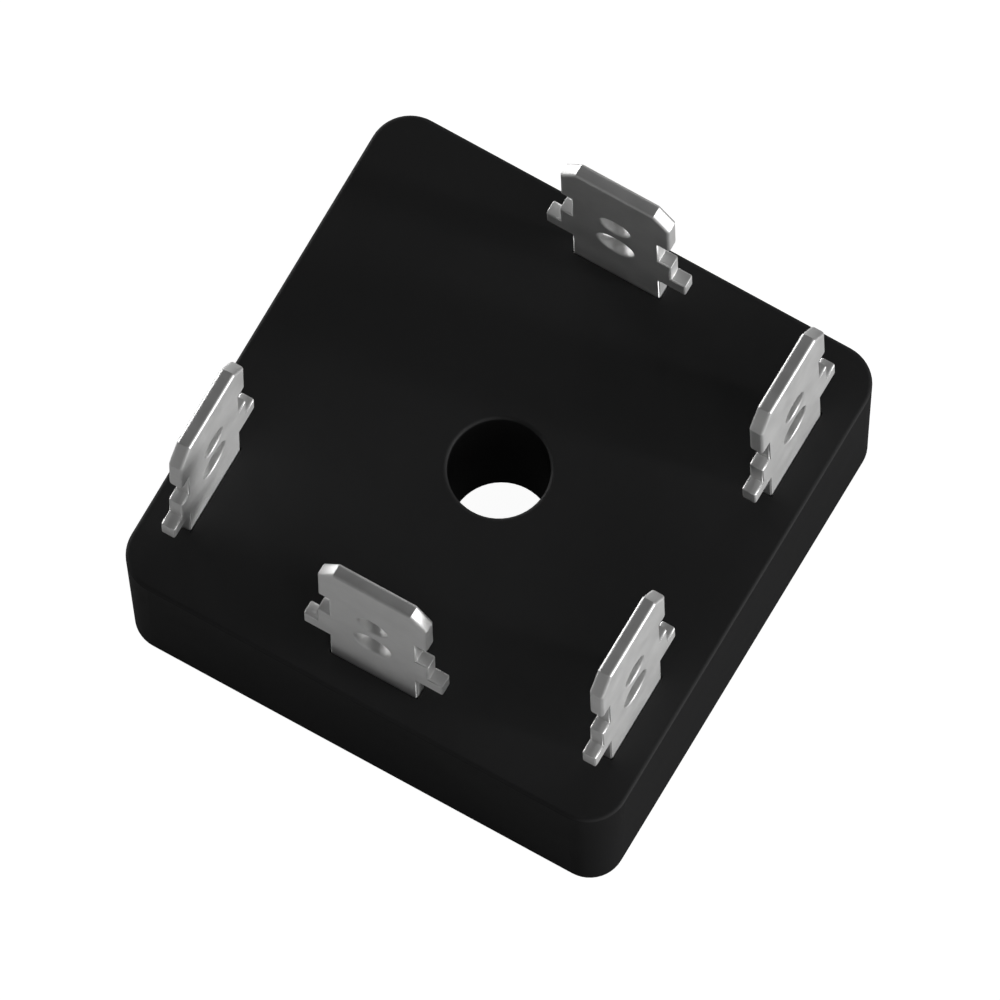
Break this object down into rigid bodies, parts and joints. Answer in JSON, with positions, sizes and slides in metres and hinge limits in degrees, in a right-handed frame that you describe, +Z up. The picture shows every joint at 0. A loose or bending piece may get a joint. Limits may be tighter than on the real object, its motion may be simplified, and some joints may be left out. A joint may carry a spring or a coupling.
{
  "type": "bridge rectifier",
  "caption": "Square black potted bridge rectifier module with a screw hole through the middle, push-on blade terminals on its face and an aluminium base plate.",
  "frame": {"origin": "middle of the base face that seats on the heat sink, on the axis of the screw hole", "axes": "+Z up out of the terminal face; the lone side terminal stands at -X, the pair of side terminals at +X, and single terminals at -Y and +Y"},
  "size_m": [0.0286, 0.0286, 0.0222],
  "materials": {
    "case_plastic": "smooth moulded black plastic with a slight sheen",
    "base_metal": "satin bare aluminium",
    "ceramic": "white alumina ceramic",
    "resin": "dark potting resin",
    "copper": "bare copper sheet",
    "silicon": "polished silicon",
    "tinned_metal": "bright tin plating on punched sheet"
  },
  "bodies": {
    "root": {"case": "case_plastic", "base_plate": "base_metal", "insulator": "ceramic", "potting": "resin", "positive_bus": "copper", "negative_bus": "copper", "ac_link_1": "copper", "ac_link_2": "copper", "ac_link_3": "copper", "lower_diode_1": "silicon", "lower_diode_2": "silicon", "lower_diode_3": "silicon", "upper_diode_1": "silicon", "upper_diode_2": "silicon", "upper_diode_3": "silicon", "ac_terminal_1": "tinned_metal", "ac_terminal_2": "tinned_metal", "ac_terminal_3": "tinned_metal", "positive_terminal": "tinned_metal", "negative_terminal": "tinned_metal"}
  },
  "joints": []
}
